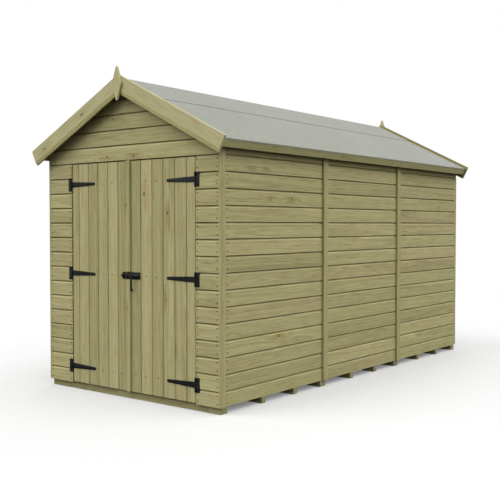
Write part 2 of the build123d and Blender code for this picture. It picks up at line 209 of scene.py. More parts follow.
def bend_round_knots(tree, read, wander, radius):
    """Bends the rings. Also gives the rings round the knots, their cores, rims and stain."""
    whorl = 0.0
    cores = 0.0
    rims = 0.0
    stain = 0.0
    _, x, y, _ = read["grain"]
    for name in ("knot_a", "knot_b"):
        _, knot_x, knot_y, size = read[name]
        kx = add(tree, "Math", "SUBTRACT", x, knot_x)
        ky = add(tree, "Math", "SUBTRACT", y, knot_y)
        there = add(tree, "Math", "GREATER_THAN", size, SMALLEST_KNOT)
        lens = distance(tree, add(tree, "Math", "MULTIPLY", kx, LENS_OVAL), ky)
        reach = add(tree, "Math", "MULTIPLY", size, KNOT_REACH)
        near = add(tree, "Math", "MULTIPLY", add(tree, "MapRange", lens, reach, 0.0, **SMOOTH), there)
        beside = add(tree, "Math", "DIVIDE", ky, size)
        beside = add(tree, "MapRange", beside, -1.0, 1.0, KNOT_BEND, -KNOT_BEND, **SMOOTH)
        bend = add(tree, "Math", "MULTIPLY", add(tree, "Math", "MULTIPLY", near, size), beside)
        radius = add(tree, "Math", "ADD", radius, bend)

        eye = distance(tree, add(tree, "Math", "MULTIPLY", kx, WHORL_OVAL), ky)
        eye = add(tree, "Math", "MULTIPLY_ADD", wander[0], 0.02, eye)
        wave = add(tree, "Math", "COSINE", add(tree, "Math", "MULTIPLY", eye, 2 * pi / WHORL))
        whorl = add(tree, "Math", "MULTIPLY_ADD", wave, add(tree, "Math", "POWER", near, 0.7), whorl)

        away = distance(tree, add(tree, "Math", "MULTIPLY", kx, KNOT_OVAL), ky)
        away = add(tree, "Math", "MULTIPLY_ADD", wander[2], 0.003, away)
        edge = add(tree, "Math", "SUBTRACT", add(tree, "Math", "MULTIPLY", size, KNOT_CORE), away)
        core = add(tree, "Math", "MULTIPLY", add(tree, "MapRange", edge, -0.001, 0.002), there)
        rim = add(tree, "Math", "MULTIPLY", core, add(tree, "MapRange", edge, 0.006, 0.001))
        cores = add(tree, "Math", "MAXIMUM", core, cores)
        rims = add(tree, "Math", "MAXIMUM", rim, rims)
        stain = add(tree, "Math", "MAXIMUM", add(tree, "Math", "POWER", near, 2.0), stain)
    return radius, whorl, cores, rims, stain


def growth_rings(tree, radius, seed, stain):
    """Late wood, from 0 to about 1: thin rings in broader bands, stronger round a knot."""
    ring = add(tree, "Math", "FRACT", add(tree, "Math", "DIVIDE", radius, RING))
    ring = add(tree, "Math", "POWER", ring, RING_SHARPNESS)
    place = add(tree, "CombineXYZ", radius, seed)
    streaks = add(tree, "TexNoise", noise_dimensions="2D", Vector=place, Scale=1 / STREAK, Detail=3.0)
    bands = add(tree, "MapRange", streaks, 0.38, 0.66, **SMOOTH)
    bands = add(tree, "Math", "MULTIPLY", bands, BAND_SHARE)
    rings = add(tree, "Math", "MULTIPLY_ADD", ring, RING_SHARE, bands)
    figure = add(tree, "Math", "MULTIPLY_ADD", stain, KNOT_FIGURE, 1.0)
    return add(tree, "Math", "MULTIPLY", rings, figure)


print("a knot bends the rings over", KNOT_REACH, "radii")

# %% [markdown]
# The colour starts from sapwood and late wood, mixed by the rings. Thin layers go over it, as they
# do on the real board: the green of the treatment, the warm wood where it took less, resin
# round the knots and in short streaks, and the knots. Brightness comes last, with the fibre, and
# with painted shade down in the joints, darker and browner where their shadow falls.

# %% Softwood material
RESIN = "#93702F"
# colour of the painted shade in the joints
JOINT_SHADE_COLOUR = "#3A3014"
GREEN_SHARE = 0.4          # the most that treatment greens the wood
WARM_SHARE = 0.28          # the most that untreated wood shows, in patches
BOARD_WARMTH = 0.13        # and over the whole of a warm board
KNOT_RESIN = 0.22          # resin round a knot
STREAK_RESIN = 0.3         # resin in a streak
CORE_SHARE = 0.75          # the dark of a knot
RIM_SHARE = 0.2            # what its rim has more of it
PAINTED_SHADE_DARKENING = -0.3          # brightness lost where the painted shade is full
PAINTED_SHADE_SHARE = 0.45          # share of the painted shade colour there
TONE_STEP = 0.08           # brightness that a board's tone of 1 adds
JOINT_DEEP = 0.0040        # metres from a board's back, up to where the painted shade is full
JOINT_SHALLOW = 0.0062     # and where it ends


def painted_joint_shade(tree, z):
    """Painted shade down in the joints, where their shadow falls, but not on a board's back."""
    deep = add(tree, "MapRange", z, JOINT_SHALLOW, JOINT_DEEP, **SMOOTH)
    return add(tree, "Math", "MULTIPLY", deep, add(tree, "MapRange", z, 0.0003, 0.0015))


def softwood(name, sap, late, green, warm, knot, roughness, saw=0.0):
    """Treated softwood that reads the board attributes. saw is the strength of saw marks."""
    material, tree, shader = new_material(name)
    read = read_board(tree)
    grain, x, _, z = read["grain"]
    _, tone, warmth, seed = read["board"]
    wander = grain_noise(tree, grain, *WANDER, out=1)
    wander = add(tree, "SeparateXYZ", wander).node.outputs
    radius = pith_radius(tree, read, wander)
    radius, whorl, cores, rims, stain = bend_round_knots(tree, read, wander, radius)
    rings = growth_rings(tree, radius, seed, stain)
    fibre = grain_noise(tree, grain, *FIBRE)
    fleck = grain_noise(tree, grain, *FLECK)
    cloud = grain_noise(tree, grain, *CLOUD)
    tint = grain_noise(tree, grain, *TINT)
    tint = add(tree, "Math", "MULTIPLY_ADD", warmth, 0.10, tint)
    knotty = add(tree, "Math", "MULTIPLY", cores, CORE_SHARE)
    knotty = add(tree, "Math", "MULTIPLY_ADD", rims, RIM_SHARE, knotty)

    colour = add(tree, "Mix", rings, A_Color=hex_colour(sap), B_Color=hex_colour(late), **COLOURS)
    layers = (
        (add(tree, "MapRange", tint, 0.50, 0.30, 0.0, GREEN_SHARE, **SMOOTH), green),
        (add(tree, "MapRange", tint, 0.54, 0.76, 0.0, WARM_SHARE, **SMOOTH), warm),
        (add(tree, "Math", "MULTIPLY", warmth, BOARD_WARMTH), warm),
        (add(tree, "Math", "MULTIPLY", stain, KNOT_RESIN), RESIN),
        (add(tree, "MapRange", fleck, 0.52, 0.74, 0.0, STREAK_RESIN), RESIN),
        (knotty, knot),
    )
    for share, layer in layers:
        colour = add(tree, "Mix", share, A_Color=colour, B_Color=hex_colour(layer), **COLOURS)

    shades = [
        (add(tree, "Math", "SUBTRACT", fibre, 0.5), 0.52),
        (add(tree, "Math", "SUBTRACT", cloud, 0.5), 0.2),
        (whorl, 0.09),
        (add(tree, "MapRange", fleck, 0.60, 0.76), -0.08),
    ]
    if saw:
        marks = add(tree, "TexNoise", noise_dimensions="1D", W=x, Scale=1 / SAW_MARK, Detail=1.0)
        shades.append((add(tree, "Math", "SUBTRACT", marks, 0.5), saw))
    value = add(tree, "Math", "MULTIPLY_ADD", tone, TONE_STEP, 1.0)
    for shade, strength in shades:
        value = add(tree, "Math", "MULTIPLY_ADD", shade, strength, value)
    # painted shade: the deep part of each joint is made darker and browner
    painted_shade = painted_joint_shade(tree, z)
    shadow = add(tree, "Math", "MULTIPLY_ADD", painted_shade, PAINTED_SHADE_DARKENING, 1.0)
    value = add(tree, "Math", "MULTIPLY", value, shadow)
    colour = add(tree, "HueSaturation", Value=value, Color=colour)
    share = add(tree, "Math", "MULTIPLY", painted_shade, PAINTED_SHADE_SHARE)
    colour = add(tree, "Mix", share, A_Color=colour, B_Color=hex_colour(JOINT_SHADE_COLOUR), **COLOURS)
    tree.links.new(colour, shader.inputs["Base Color"])

    height = add(tree, "Math", "MULTIPLY_ADD", rings, 0.45, add(tree, "Math", "MULTIPLY", fibre, 0.8))
    bump = add(tree, "Bump", Strength=0.35, Distance=0.0008, Height=height)
    tree.links.new(bump, shader.inputs["Normal"])
    shader.inputs["Roughness"].default_value = roughness
    shader.inputs["IOR"].default_value = 1.45
    shader.inputs["Specular IOR Level"].default_value = 0.15
    return material


# %% [markdown]
# The same timber has several finishes. Cladding and trim are planed, and the trim is paler. Framing
# is sawn, so it is browner and rougher. The bargeboards' chamfers keep the marks of the saw, and so
# do the tops of the back ones. Those tops and the back ones' inner faces are painted much darker,
# a painted shade against the light that falls on them.

# %% Softwoods
cladding = softwood("planed_treated_softwood", sap="#B2AD7D", late="#888257", green="#999B6A",
                    warm="#BAA585", knot="#534A20", roughness=0.72)
trim = softwood("planed_treated_trim", sap="#BAB58A", late="#AAA477", green="#ACAC7C",
                warm="#C1B28B", knot="#4E4620", roughness=0.7)
framing = softwood("sawn_treated_framing", sap="#A69B6E", late="#8B7F54", green="#908C64",
                   warm="#AB9468", knot="#664F2B", roughness=0.85)
chamfer = softwood("sawn_chamfer_of_trim", sap="#BAB47E", late="#A8A26E", green="#AAAB72",
                   warm="#BBAE76", knot="#6B6030", roughness=0.85, saw=0.35)
# Painted shade: this darker finish goes on the back bargeboards' tops and inner faces.
shaded_back_tops = softwood("sawn_top_edge_of_trim", sap="#8A8659", late="#78734D", green="#7B7C51",
                    warm="#8B8055", knot="#564F27", roughness=0.85, saw=0.35)
print("softwood materials:", cladding.name, trim.name, framing.name, chamfer.name, shaded_back_tops.name)

# %% [markdown]
# ## Steel and felt
# The hinges and the bolt are mild steel with a black powder coat: satin, with a faint orange-peel.
# The nails are plain bright steel that has gone dull, so small that they only read as dark dots.
# The roof is bitumen felt faced with pale mineral grit, so it is rough, grey and finely speckled.
# Where the ridge strip is cut, its edge is bare black bitumen, which draws a thin line along the
# roof. At the eaves the felt is turned down over the board, so its grit goes round the edge; that
# edge is painted paler still, a painted light against the shade on its downward face.

# %% Steel and felt materials
GRIT = 0.0035          # metres between grit clusters; single grains are about 1 mm
PEEL = 0.0015          # metres between the dimples of the powder coat
WEAR = 0.025           # metres across a worn patch of it
SPOT = 1 / 300         # metres (3 mm) across a spot on a nail
SPECKLE = 1 / 90       # metres (11 mm) across a darker group of grit
WEATHERING = 0.625     # metres across a paler or darker stretch of felt


def powder_coat():
    material, tree, shader = new_material("black_powder_coated_steel")
    place = add(tree, "TexCoord", out=3)
    peel = add(tree, "TexNoise", Vector=place, Scale=1 / PEEL, Detail=1.0)
    wear = add(tree, "TexNoise", Vector=place, Scale=1 / WEAR, Detail=4.0)
    shade = add(tree, "MapRange", wear, 0.35, 0.7)
    colour = add(tree, "Mix", shade, A_Color=hex_colour("#141515"), B_Color=hex_colour("#1A1B1A"),
                 **COLOURS)
    tree.links.new(colour, shader.inputs["Base Color"])
    tree.links.new(add(tree, "MapRange", wear, 0.3, 0.7, 0.48, 0.6), shader.inputs["Roughness"])
    shader.inputs["Specular IOR Level"].default_value = 0.16
    bump = add(tree, "Bump", Strength=0.25, Distance=0.0003, Height=peel)
    tree.links.new(bump, shader.inputs["Normal"])
    return material


def dull_steel():
    material, tree, shader = new_material("dulled_steel_nails")
    place = add(tree, "TexCoord", out=3)
    spots = add(tree, "TexNoise", Vector=place, Scale=1 / SPOT, Detail=2.0)
    colour = add(tree, "Mix", spots, A_Color=hex_colour("#0D0B06"), B_Color=hex_colour("#17140B"),
                 **COLOURS)
    tree.links.new(colour, shader.inputs["Base Color"])
    shader.inputs["Roughness"].default_value = 0.7
    shader.inputs["Specular IOR Level"].default_value = 0.15
    return material


def mineral_felt(name, edge):
    material, tree, shader = new_material(name)
    place = add(tree, "TexCoord", out=3)
    grit = add(tree, "TexVoronoi", Vector=place, Scale=1 / GRIT, out=1)
    grain_tone = add(tree, "SeparateColor", grit)
    speckle = add(tree, "TexNoise", Vector=place, Scale=1 / SPECKLE, Detail=4.0, Roughness=0.7)
    cloud = add(tree, "TexNoise", Vector=place, Scale=1 / WEATHERING, Detail=4.0)
    colour = add(tree, "Mix", grain_tone, A_Color=hex_colour("#6C6E64"),
                 B_Color=hex_colour("#A5A79E"), **COLOURS)
    share = add(tree, "MapRange", speckle, 0.35, 0.7, 0.0, 0.85)
    colour = add(tree, "Mix", share, A_Color=colour, B_Color=hex_colour("#73756C"), **COLOURS)
    value = add(tree, "MapRange", cloud, 0.3, 0.7, 0.96, 1.04)
    colour = add(tree, "HueSaturation", Value=value, Color=colour)
    # Faces that do not look up take the edge colour: bare bitumen on the ridge strip, painted light
    # on the turned-down eaves edge.
    facing = add(tree, "SeparateXYZ", add(tree, "TexCoord", out=1), out=2)
    share = add(tree, "MapRange", facing, 0.82, 0.7)
    colour = add(tree, "Mix", share, A_Color=colour, B_Color=hex_colour(edge), **COLOURS)
    tree.links.new(colour, shader.inputs["Base Color"])
    height = add(tree, "TexNoise", Vector=place, Scale=1 / GRIT, Detail=3.0)
    bump = add(tree, "Bump", Strength=0.6, Distance=0.001, Height=height)
    tree.links.new(bump, shader.inputs["Normal"])
    shader.inputs["Roughness"].default_value = 0.92
    return material


black_steel = powder_coat()
nail_steel = dull_steel()
# painted light: the turned-down eaves edge is paler than the felt, against the shade on that face
side_felt = mineral_felt("grey_mineral_felt_turned_edge", edge="#A6A794")
ridge_felt = mineral_felt("grey_mineral_felt_cut_edge", edge="#1B1A17")
print("other materials:", black_steel.name, nail_steel.name, side_felt.name, ridge_felt.name)

# %% [markdown]
# ## How a board is made
# A board is its section, pushed along its length. It is made in board space, where X runs along the
# board, Y across it and Z out of its face, and a matrix then puts it in its place. Because that
# matrix is known, it also works backwards: after all cuts, it tells each point its place in
# the board, which is what the grain needs.

# %% Board space, attributes and pieces
rng = random.Random(20)    # seeded, so that every run draws the same boards


def board_space(start, along, across):
    """Matrix from board space to the frame."""
    along = Vector(along).normalized()
    across = Vector(across).normalized()
    matrix = Matrix((along, across, along.cross(across))).transposed().to_4x4()
    matrix.translation = Vector(start)
    return matrix


def timber_mesh(mesh=None):
    """A bmesh with the grain layers, which come before any point is held in a variable."""
    bm = bmesh.new()
    if mesh is not None:
        bm.from_mesh(mesh)
    for name in VECTOR_LAYERS:
        bm.verts.layers.float_vector.new(name)
    return bm


def give_grain(bm, verts, matrix, middle, knots=(), tone=None, warmth=None, lift=0.0):
    """Writes each point's place in its board, and what the whole board shares.

    lift raises the depths of a timber that has no joints, clear of those that get the painted joint
    shade.
    """
    layers = {name: bm.verts.layers.float_vector[name] for name in VECTOR_LAYERS}
    back = matrix.inverted()
    shift = rng.uniform(0.0, 40.0)
    share = {
        "board": Vector((tone if tone is not None else rng.uniform(-1, 1),
                         warmth if warmth is not None else rng.uniform(0.0, 1.0) ** 2,
                         rng.uniform(0.0, 50.0))),
        "pith": Vector((rng.uniform(-0.07, 0.07), -rng.uniform(0.005, 0.075),
                        rng.choice((-1, 1)) * rng.uniform(0.004, 0.016))),
        "knot_a": Vector((0.0, 0.0, 0.0)),
        "knot_b": Vector((0.0, 0.0, 0.0)),
    }
    share["pith"].y += lift
    for name, (kx, ky, size) in zip(("knot_a", "knot_b"), knots):
        share[name] = Vector((kx + shift, ky - middle, size))
    for vert in verts:
        local = back @ vert.co
        vert[layers["grain"]] = Vector((local.x + shift, local.y - middle, local.z + lift))
        for name, value in share.items():
            vert[layers[name]] = value


def push_section(bm, section, length, matrix):
    """Solid from a section in board space. Returns its points."""
    ring = [bm.verts.new((0.0, y, z)) for y, z in section]
    face = bmesh.ops.contextual_create(bm, geom=ring)["faces"][0]
    pushed = bmesh.ops.extrude_face_region(bm, geom=[face])["geom"]
    far = [g for g in pushed if isinstance(g, bmesh.types.BMVert)]
    bmesh.ops.translate(bm, verts=far, vec=(length, 0.0, 0.0))
    bmesh.ops.transform(bm, matrix=matrix, verts=ring + far)
    return ring + far


def cut_away(bm, verts, point, normal):
    """Saws a board through and drops the side that the normal points to."""
    verts = [v for v in verts if v.is_valid]
    faces = {f for v in verts for f in v.link_faces}
    edges = {e for v in verts for e in v.link_edges}
    cut = bmesh.ops.bisect_plane(bm, geom=[*verts, *edges, *faces], plane_co=point,
                                 plane_no=normal, clear_outer=True, dist=1e-6)
    rim = [g for g in cut["geom_cut"] if g.is_valid and isinstance(g, bmesh.types.BMEdge)]
    if rim:
        bmesh.ops.contextual_create(bm, geom=rim)
    return [g for g in cut["geom"] if g.is_valid and isinstance(g, bmesh.types.BMVert)]


def new_object(name, data):
    made = bpy.data.objects.new(name, data)
    bpy.context.scene.collection.objects.link(made)
    return made


def mesh_object(name, bm, material):
    mesh = bpy.data.meshes.new(name)
    bm.to_mesh(mesh)
    bm.free()
    mesh.materials.append(material)
    return new_object(name, mesh)


def piece(name, bm, material, body, stands_for=(), smooth_angle=None):
    """Makes the finished object and ties it to its body."""
    bmesh.ops.recalc_face_normals(bm, faces=bm.faces)
    made = mesh_object(name, bm, material)
    if smooth_angle is not None:
        made.data.shade_smooth()
        made.data.set_sharp_from_angle(angle=radians(smooth_angle))
    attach(made, body)
    if stands_for:
        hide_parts(*stands_for)
    return made


print("a board carries", ", ".join(VECTOR_LAYERS))

# %% [markdown]
# ## The two board sections
# The walls are clad in shiplap: each board has a hollow along its top, and its lower lip laps over
# the tongue of the board below. The doors are tongued and grooved boards with a small V at
# each joint. Both are drawn as the real sections, because the dark lines and the light band
# under each lip are what the eye knows such a shed by.

# %% Sections
BOARD_THICKNESS = 0.012
LAP_DEPTH = 0.0075         # the lip's thickness
COVE_HEIGHT = 0.019
LAP_HEIGHT = 0.009
LAP_CLEARANCE = 0.0005
EDGE_EASE = 0.0008
VEE = 0.0048               # depth of the V on each side of a door board's joint
SHRINKAGE = 0.0030         # by which a dried board has opened its joint
TONGUE = 0.004
TONGUE_LOW = 0.002         # from the board's back
TONGUE_HIGH = 0.0055
COVE_STEPS = 6


def shiplap(pitch):
    """Section of a wall board: y up the wall, z out from its back."""
    t = BOARD_THICKNESS
    depth = LAP_DEPTH + LAP_CLEARANCE * 2
    back = t - LAP_DEPTH
    points = [(LAP_HEIGHT + LAP_CLEARANCE, 0.0), (LAP_HEIGHT + LAP_CLEARANCE, back), (0.0, back),
              (0.0, t - EDGE_EASE), (EDGE_EASE, t)]
    radius = (COVE_HEIGHT ** 2 + depth ** 2) / (2 * depth)
    floor = t - depth
    start = pitch - COVE_HEIGHT
    for i in range(COVE_STEPS + 1):
        y = start + COVE_HEIGHT * i / COVE_STEPS
        z = floor + radius - sqrt(radius ** 2 - (pitch - y) ** 2)
        points.append((y, z))
    points += [(pitch + LAP_HEIGHT, floor), (pitch + LAP_HEIGHT, 0.0)]
    return points


def matchboard(width, thickness=BOARD_THICKNESS):
    """Section of a tongued and grooved board with a V at each edge of its face."""
    t = BOARD_THICKNESS
    share = thickness / t
    gap = LAP_CLEARANCE / 2
    edge = width - SHRINKAGE
    groove_low = TONGUE_LOW - gap
    groove_high = TONGUE_HIGH + gap
    points = [
        (0.0, 0.0), (0.0, groove_low), (TONGUE + gap, groove_low), (TONGUE + gap, groove_high),
        (0.0, groove_high), (0.0, t - VEE), (VEE, t), (edge - VEE, t), (edge, t - VEE),
        (edge, TONGUE_HIGH), (width + TONGUE, TONGUE_HIGH), (width + TONGUE, TONGUE_LOW),
        (width, TONGUE_LOW), (width, 0.0),
    ]
    return [(y, z * share) for y, z in points]


print("points in a wall board's section:", len(shiplap(0.113)), "door board's:", len(matchboard(0.1)))

# %% [markdown]
# ## Wall boards
# The boards are laid from the measured joint lines, course by course. Courses on the end walls
# are counted from the head of the doorway, where a joint runs right across, and those on the
# sides from the foot of the wall. A wall's own box says where the boards start and stop, and
# the roof's slope cuts the highest ones. The knots that stand out are listed with their places.

# %% Places read off the frame
front_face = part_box("front_gable")[0].y
back_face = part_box("back_wall")[1].y
half_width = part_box("front_gable")[1].x
base_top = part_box("front_panel_left")[0].z
head_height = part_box("front_gable")[0].z
ridge_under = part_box("front_gable")[1].z          # underside of the roof boards, at the ridge
SLOPE = radians(26.67)
END_COURSE = 0.1126
SIDE_COURSE = 0.1133
SIDE_FIRST = 0.1045        # the lowest side board is ripped down to this
POST_LAP = 0.015           # how far the back corner posts cover the sides
print("front", round(front_face, 3), "head", round(head_height, 3), "ridge", round(ridge_under, 3))

# %% Knots that stand out: along X or Y, height, radius
KNOTS = {
    "front_gable": [(-0.212, 1.765, 0.013), (0.067, 1.759, 0.015), (-0.145, 2.039, 0.011),
                    (-0.751, 1.793, 0.006)],
    "left_door": [(-0.255, 0.481, 0.006), (-0.126, 0.328, 0.007)],
    "right_door": [(0.173, 1.484, 0.019), (0.403, 1.347, 0.014), (0.480, 0.387, 0.008),
                   (0.386, 0.742, 0.012)],
    "door_cover_strip": [(0.002, 1.405, 0.011), (0.010, 0.662, 0.009)],
    "right_wall_front": [(-1.260, 1.457, 0.010), (-0.993, 1.460, 0.013), (-1.153, 0.458, 0.016),
                         (-1.460, 1.658, 0.008), (-1.311, 1.659, 0.007), (-0.889, 1.652, 0.008)],
    "eaves_boards": [(-1.333, 1.810, 0.009), (-0.418, 1.802, 0.007), (0.781, 1.781, 0.009),
                     (1.375, 1.789, 0.006)],
    "front_bargeboard_left": [(-0.394, 2.083, 0.016), (-0.833, 1.853, 0.014)],
}
PIN_KNOT_CHANCE = 0.16     # that a wall board has one more knot, a small one, at random


def listed_knots(node, matrix, length, width, middle=Vector()):
    """The listed knots of a node that lie on one board, in that board's space.

    middle is the middle of the board, and is only needed for a board that leans.
    """
    back = matrix.inverted()
    lengthwise = abs(matrix.col[0].y) > 0.5
    found = []
    for place, height, size in KNOTS.get(node, []):
        local = back @ Vector((middle.x, place, height) if lengthwise else (place, middle.y, height))
        if 0 < local.x < length and 0 < local.y < width:
            found.append((local.x, local.y, size))
    return found[:2]


def wall_knots(node, matrix, length, width):
    found = listed_knots(node, matrix, length, width)
    while len(found) < 2 and rng.random() < PIN_KNOT_CHANCE:
        found.append((rng.uniform(0.05, 0.95) * length, rng.uniform(0.15, 0.8) * width,
                      rng.uniform(0.004, 0.008)))
    return found


print("listed knots:", sum(len(places) for places in KNOTS.values()))


# %% Clad the walls
def roof_cut(side):
    """A point and the upward normal of the underside of the roof boards."""
    return Vector((0.0, 0.0, ridge_under)), Vector((side * sin(SLOPE), 0.0, cos(SLOPE)))


def clad(node, start, along, length, course, first, last_height, cuts=()):
    """Shiplap boards over one wall panel. first is the height of a joint at or under its foot."""
    low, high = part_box(node)
    bm = timber_mesh()
    level = first
    count = 0
    while level < last_height - 1e-4:
        matrix = board_space((*start, level), along, (0, 0, 1))
        verts = push_section(bm, shiplap(course), length, matrix)
        if level < low.z - 1e-5:
            verts = cut_away(bm, verts, (0, 0, low.z), (0, 0, -1))
        for side in cuts:
            point, normal = roof_cut(side)
            if max(normal.dot(v.co - point) for v in verts) > 1e-5:
                verts = cut_away(bm, verts, point, normal)
        if verts:
            give_grain(bm, verts, matrix, course / 2, wall_knots(node, matrix, length, course))
        level += course
        count += 1
    made = piece(node + "_boards", bm, cladding, nodes[node]["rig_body"], (node,))
    print(made.name, count, "boards,", len(made.data.polygons), "faces")


def first_joint(foot):
    """The end walls' joint at or under a height, counted from the head of the doorway."""
    return head_height - ceil((head_height - foot - 1e-4) / END_COURSE) * END_COURSE


def clad_end(node, y, along, cuts=(), inset=0.0):
    """Boards on an end wall. inset leaves room for a timber at each corner."""
    low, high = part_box(node)
    x = low.x + inset if along > 0 else high.x - inset
    length = high.x - low.x - inset * 2
    clad(node, (x, y), (along, 0, 0), length, END_COURSE, first_joint(low.z), high.z, cuts)


def clad_side(node, side, inset):
    """Boards on a side wall. inset leaves room for a timber at the panel's back end."""
    low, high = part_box(node)
    x = side * (half_width - BOARD_THICKNESS)
    y = low.y if side > 0 else high.y - inset
    first = low.z + SIDE_FIRST - SIDE_COURSE
    length = high.y - low.y - inset
    clad(node, (x, y), (0, side, 0), length, SIDE_COURSE, first, high.z, (side,))


clad_end("front_panel_left", front_face + BOARD_THICKNESS, 1)
clad_end("front_panel_right", front_face + BOARD_THICKNESS, 1)
clad_end("front_gable", front_face + BOARD_THICKNESS, 1, (-1, 1))
clad_end("back_wall", back_face - BOARD_THICKNESS, -1, (-1, 1), BOARD_THICKNESS)
for side, side_name in ((-1, "left"), (1, "right")):
    for part in ("front", "middle", "back"):
        clad_side(side_name + "_wall_" + part, side, POST_LAP if part == "back" else 0.0)

# %% [markdown]
# ## Door leaves
# The left leaf is six boards and the right leaf seven, of slightly different widths, so their
# joints are given one by one. The boards at a leaf's edges are ripped down to make up its width.

# %% Doors
DOOR_TONES = {             # lighter or darker, and how warm, board by board
    "left_door": ((-0.2, 0.5), (0.7, 0.6), (-0.8, 0.3), (0.0, 0.2), (1.3, 0.8), (-1.0, 0.0)),
    "right_door": ((0.0, 0.2), (-1.2, 0.0), (1.4, 0.8), (-0.3, 0.1), (0.3, 0.2), (-0.3, 0.5),
                   (0.3, 0.4)),
}
DOOR_JOINTS = {
    "left_door": (-0.533, -0.422, -0.317, -0.207, -0.099),
    "right_door": (0.027, 0.1366, 0.249, 0.358, 0.468, 0.579),
}


def lay_boards(node, edges, start, along, length, thickness, looks):
    """Tongued and grooved boards side by side, each from one edge in X to the next."""
    bm = timber_mesh()
    for x0, x1, (tone, warmth) in zip(edges, edges[1:], looks):
        matrix = board_space((x1, *start), along, (-1, 0, 0))
        verts = push_section(bm, matchboard(x1 - x0, thickness), length, matrix)
        if x0 == edges[0]:
            verts = cut_away(bm, verts, (x0, 0, 0), (-1, 0, 0))
        knots = listed_knots(node, matrix, length, x1 - x0)
        give_grain(bm, verts, matrix, (x1 - x0) / 2, knots, tone, warmth)
    return bm


def door_leaf(node):
    low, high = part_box(node)
    edges = [low.x, *DOOR_JOINTS[node], high.x]
    bm = lay_boards(node, edges, (high.y, low.z), (0, 0, 1), high.z - low.z, BOARD_THICKNESS,
                    DOOR_TONES[node])
    made = piece(node + "_boards", bm, cladding, nodes[node]["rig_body"], (node,))
    print(made.name, len(edges) - 1, "boards")


door_leaf("left_door")
door_leaf("right_door")

# %% [markdown]
# ## Strips, frames and other sawn timber
# Strips, bargeboards, joists, studs and rails already have their true shape in the CAD model, but
# with knife edges and no grain. Each gets a copy with its triangles joined to whole faces and its
# edges eased by a millimetre, as a planer leaves them. The longest edge of each piece of
# timber gives the direction of its grain.

# %% Ease the timbers
TIMBER_EASE = 0.0012


def islands(bm):
    """The separate solids of a mesh, in a steady order."""
    bm.verts.ensure_lookup_table()
    seen = set()
    for start in bm.verts:
        if start in seen:
            continue
        group = [start]
        seen.add(start)
        for vert in group:
            for edge in vert.link_edges:
                other = edge.other_vert(vert)
                if other not in seen:
                    seen.add(other)
                    group.append(other)
        yield group


def clean_copy(node):
    bm = timber_mesh(nodes[node].data)
    bmesh.ops.remove_doubles(bm, verts=bm.verts, dist=1e-5)
    bmesh.ops.dissolve_limit(bm, angle_limit=radians(1), verts=bm.verts, edges=bm.edges)
    return bm


def ease_edges(bm, width, angle=25):
    sharp = [e for e in bm.edges if len(e.link_faces) == 2 and e.calc_face_angle(0) > radians(angle)]
    bmesh.ops.bevel(bm, geom=sharp, offset=width, affect="EDGES", segments=2, profile=0.5,
                    material=-1, clamp_overlap=True)


def timber(node, material, tone=None, warmth=None):
    """A sawn or planed copy of a node, with its edges eased and its grain along each timber."""
    bm = clean_copy(node)
    places = []
    for group in islands(bm):
        edges = {e for v in group for e in v.link_edges}
        longest = max(edges, key=lambda e: (round(e.calc_length(), 5), tuple(e.verts[0].co)))
        along = (longest.verts[1].co - longest.verts[0].co).normalized()
        faces = {f for v in group for f in v.link_faces if abs(f.normal.dot(along)) < 0.1}
        widest = max(faces, key=lambda f: (round(f.calc_area(), 7), tuple(f.normal)))
        across = widest.normal.cross(along)
        low = min(v.co.dot(along) for v in group)
        sides = [v.co.dot(across) for v in group]
        depth = max(v.co.dot(widest.normal) for v in group)
        start = along * low + across * min(sides) + widest.normal * depth
        matrix = board_space(start, along, across)
        length = max(v.co.dot(along) for v in group) - low
        places.append((matrix, length, max(sides) - min(sides)))
    ease_edges(bm, TIMBER_EASE)
    for group, (matrix, length, width) in zip(islands(bm), places):
        middle = sum((v.co for v in group), Vector()) / len(group)
        knots = listed_knots(node, matrix, length, width, middle)
        give_grain(bm, group, matrix, width / 2, knots, tone, warmth, lift=1.0)
    return piece(node + "_timber", bm, material, nodes[node]["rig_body"], (node,))


def saw_edges(made):
    """A sawn finish for a bargeboard's chamfer, and a darker one, a painted shade, for a back one's
    top and inner face.
    """
    made.data.materials.append(chamfer)
    made.data.materials.append(shaded_back_tops)
    # The chamfer leans a little out of the board's face and looks downwards.
    for face in made.data.polygons:
        if 0.9 < abs(face.normal.y) < 0.995 and face.normal.z < -0.1:
            face.material_index = 1
        # Painted shade: a back bargeboard's top and inner face take the darker finish.
        if "back_" in made.name and (face.normal.z > 0.6 or face.normal.y < -0.9):
            face.material_index = 2


TIP_SHARE = 0.58           # the real tips are this share of the solid's width
TIP_REACH = 0.1            # and they take up this share of the finial's length


def slim_tips(made):
    """Narrows the blunt ends of the finials about their middle line."""
    low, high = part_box("finials")
    reach = (high.z - low.z) * TIP_REACH
    for vert in made.data.vertices:
        if min(vert.co.z - low.z, high.z - vert.co.z) < reach:
            vert.co.x *= TIP_SHARE


TRIM = ("front_corner_strips", "side_joint_strips", "back_corner_strips", "door_cover_strip",
        "eaves_boards", "finials", "front_bargeboard_left", "front_bargeboard_right",
        "back_bargeboard_left", "back_bargeboard_right", "left_door_ledges",
        "right_door_ledges", "left_door_braces", "right_door_braces")
FRAMES = ("floor_joists", "front_wall_studs", "back_wall_studs", "side_wall_studs",
          "end_wall_rails", "side_wall_rails", "wall_heads", "gable_posts", "gable_rafters",
          "roof_beams")
TRIM_TONES = {"front_bargeboard_left": -0.4, "front_bargeboard_right": -0.3, "finials": -0.4,
              "eaves_boards": 1.2, "front_corner_strips": -0.6}
PLAIN_TRIM_TONE = -0.2
JOIST_TONE = -3.8          # the joists' ends are darker
TRIM_WARMTH = 0.1
for name in TRIM:
    planed = "bargeboard" in name or name == "finials"
    made = timber(name, trim if planed else cladding,
                  TRIM_TONES.get(name, PLAIN_TRIM_TONE), TRIM_WARMTH)
    if "bargeboard" in name:
        saw_edges(made)
    if name == "finials":
        slim_tips(made)
